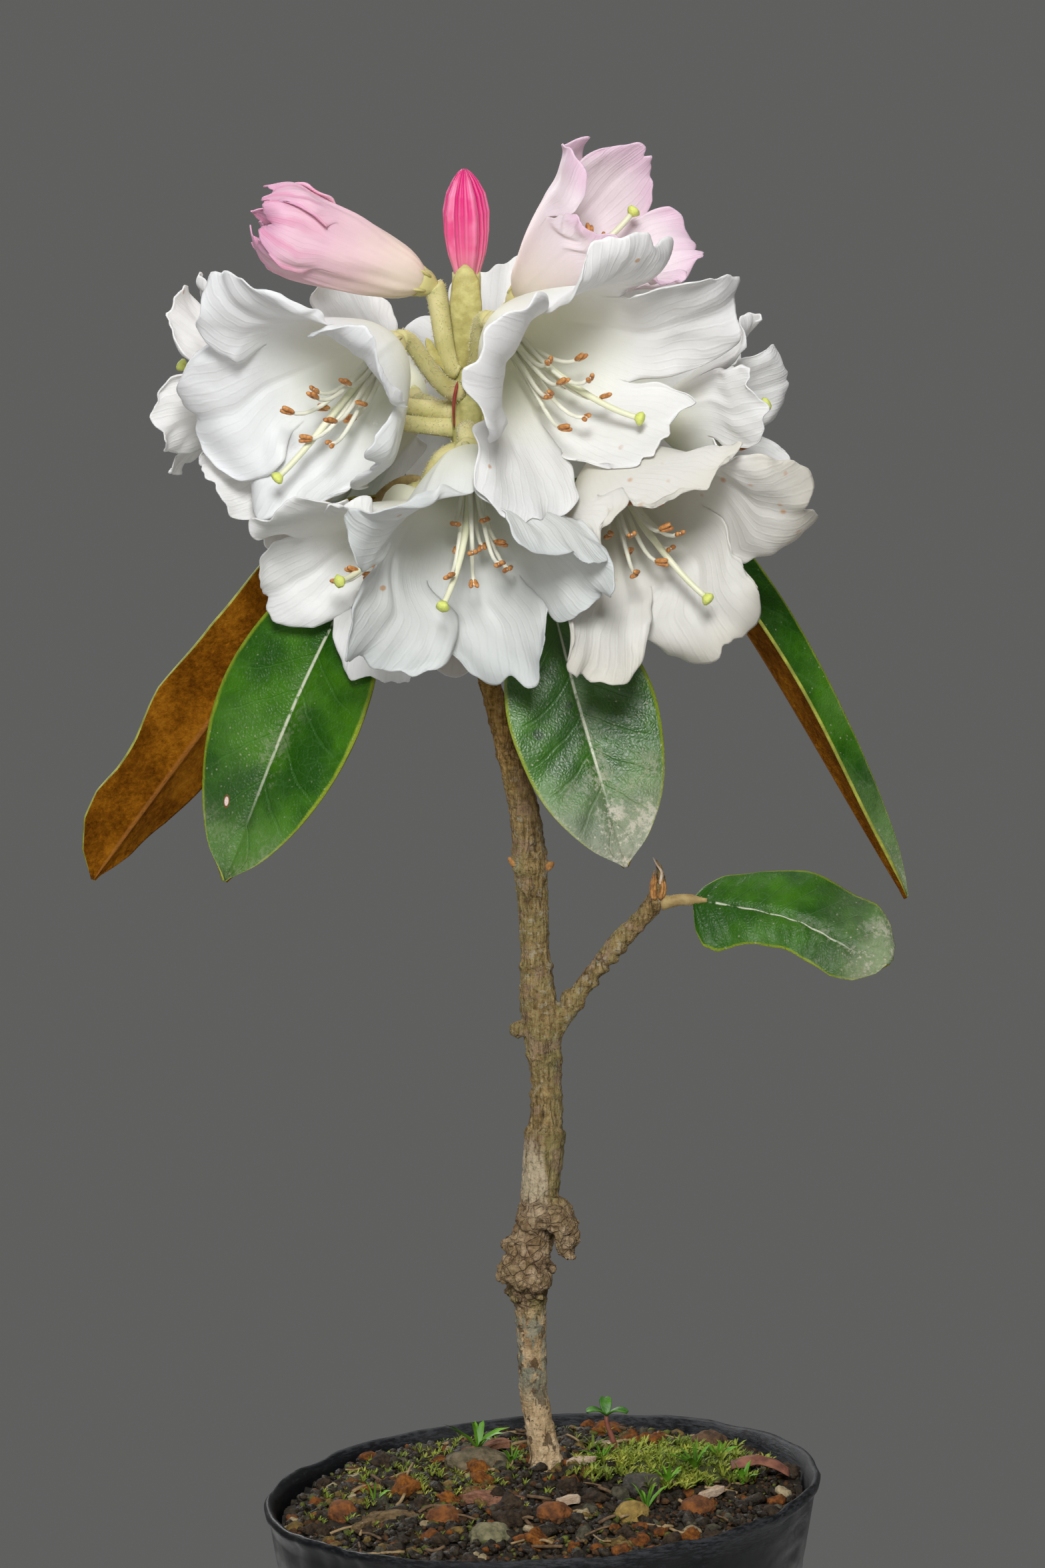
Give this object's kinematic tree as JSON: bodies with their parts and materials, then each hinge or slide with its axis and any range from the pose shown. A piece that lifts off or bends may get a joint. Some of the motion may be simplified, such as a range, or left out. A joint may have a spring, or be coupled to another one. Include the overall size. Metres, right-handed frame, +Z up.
{
  "type": "potted rhododendron",
  "caption": "Young rhododendron in bloom: woody stem, drooping leaves and a full flower head, standing in a black nursery pot of gritty mix.",
  "frame": {"origin": "centre of the pot's flat underside", "axes": "+Z up along the stem, -Y towards the front of the flower head, +X to its right"},
  "size_m": [0.1788, 0.1526, 0.3946],
  "materials": {
    "pot_plastic": "thin black nursery-pot plastic, scuffed grey along the rim",
    "growing_mix": "damp gritty mix of crushed lava, bark and dark crumbs",
    "stone": "rough lava and grit, rust, tan and grey",
    "bark_chip": "split reddish bark",
    "moss": "low moss, yellow-green",
    "bark": "flaking brown bark with grey-green lichen",
    "leaf": "glossy deep green above, orange-brown felt below",
    "stalk": "pale yellow-green, downy",
    "petal": "white, thin and faintly veined",
    "pink_petal": "white flushed with pink, faintly veined",
    "bud": "deep pink, ribbed"
  },
  "bodies": {
    "root": {"pot": "pot_plastic", "growing_mix": "growing_mix", "stone_mossy_back": "stone", "stone_rust_left": "stone", "stone_rust_front_left": "stone", "stone_tan_front_left": "stone", "stone_rust_front": "stone", "stone_yellow_front": "stone", "stone_grey_right": "stone", "stone_rust_right": "stone", "stone_brown_back_right": "stone", "bark_chip_front": "bark_chip", "bark_chip_left": "bark_chip", "moss_cushion": "moss", "trunk": "bark", "side_branch": "bark", "flower_stalk": "stalk", "leaf_far_left": "leaf", "leaf_front_left": "leaf", "leaf_front_right": "leaf", "leaf_right": "leaf", "leaf_back_left": "leaf", "leaf_back_right": "leaf", "leaf_side": "leaf", "bloom_front": "petal", "bloom_front_low": "petal", "bloom_front_left": "petal", "bloom_right_low": "petal", "bloom_right": "petal", "bloom_left_low": "petal", "bloom_left_hanging": "petal", "bloom_far_left": "petal", "bloom_back_left": "petal", "bloom_back": "petal", "bloom_back_right": "petal", "bloom_back_low": "petal", "bloom_half_open": "pink_petal", "bud_opening": "pink_petal", "bud_closed": "bud"}
  },
  "joints": []
}
